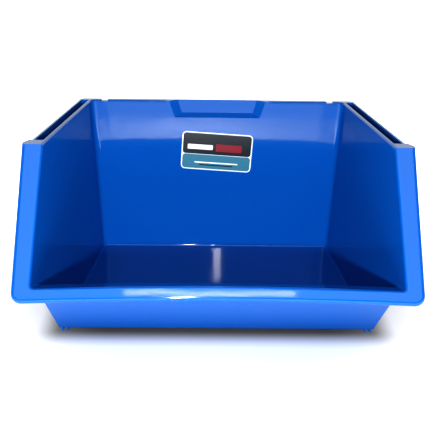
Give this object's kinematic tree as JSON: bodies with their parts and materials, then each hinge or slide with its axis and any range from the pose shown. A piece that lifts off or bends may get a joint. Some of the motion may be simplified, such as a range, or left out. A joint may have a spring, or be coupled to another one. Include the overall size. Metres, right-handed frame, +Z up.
{
  "type": "open-front stacking storage bin",
  "caption": "Wide open-front plastic storage bin with leaning front opening, rolled lip, channelled side rails, finger recess in the back rim, corner feet and a plain label.",
  "frame": {"origin": "on the surface the feet stand on, under the middle of the bin's width and depth", "axes": "+Z up; -Y is the open front; +X to the right seen from the front"},
  "size_m": [0.3584, 0.2712, 0.1915],
  "materials": {
    "bin_plastic": "gloss",
    "label_film": "satin"
  },
  "bodies": {
    "root": {"floor_panel": "bin_plastic", "back_wall": "bin_plastic", "finger_recess": "bin_plastic", "left_back_rim": "bin_plastic", "right_back_rim": "bin_plastic", "front_lip": "bin_plastic", "lip_ledge": "bin_plastic", "lip_return": "bin_plastic", "front_panel": "bin_plastic", "left_jamb": "bin_plastic", "right_jamb": "bin_plastic", "left_jamb_head": "bin_plastic", "right_jamb_head": "bin_plastic", "left_side_wall": "bin_plastic", "right_side_wall": "bin_plastic", "left_rail_wall": "bin_plastic", "right_rail_wall": "bin_plastic", "left_channel_floor": "bin_plastic", "right_channel_floor": "bin_plastic", "left_rail_skirt": "bin_plastic", "right_rail_skirt": "bin_plastic", "front_left_foot": "bin_plastic", "front_right_foot": "bin_plastic", "rear_left_foot": "bin_plastic", "rear_right_foot": "bin_plastic", "label": "label_film"}
  },
  "joints": []
}
